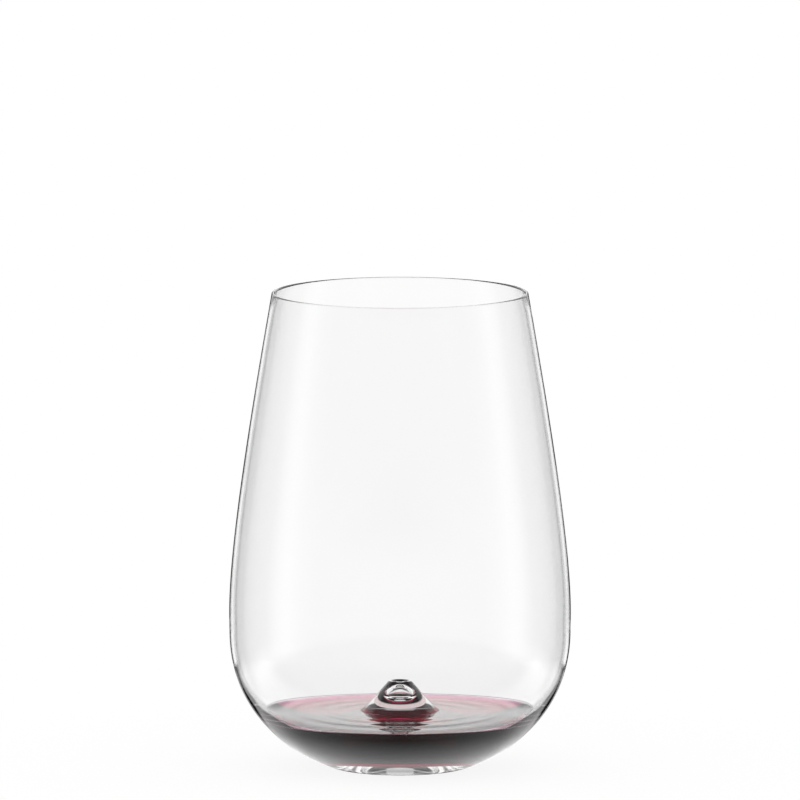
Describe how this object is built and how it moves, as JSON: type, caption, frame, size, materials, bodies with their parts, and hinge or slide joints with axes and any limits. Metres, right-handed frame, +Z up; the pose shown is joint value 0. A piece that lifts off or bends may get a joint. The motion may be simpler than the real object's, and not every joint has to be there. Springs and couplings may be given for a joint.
{
  "type": "stemless wine glass",
  "caption": "Stemless wine glass with a tapering bowl, a raised aerating peak with a trapped air bubble in its floor, and a splash of red wine.",
  "frame": {"origin": "middle of the foot, on the surface that the glass stands on", "axes": "+Z up, along the axis of the bowl; the glass is round, so X and Y are free"},
  "size_m": [0.0932, 0.0932, 0.1305],
  "materials": {
    "bowl_glass": "gloss",
    "peak_glass": "gloss",
    "seal_glass": "gloss",
    "red_wine": "gloss"
  },
  "bodies": {
    "root": {"bowl": "bowl_glass", "aerator_peak": "peak_glass", "bubble_seal": "seal_glass", "wine": "red_wine"}
  },
  "joints": []
}
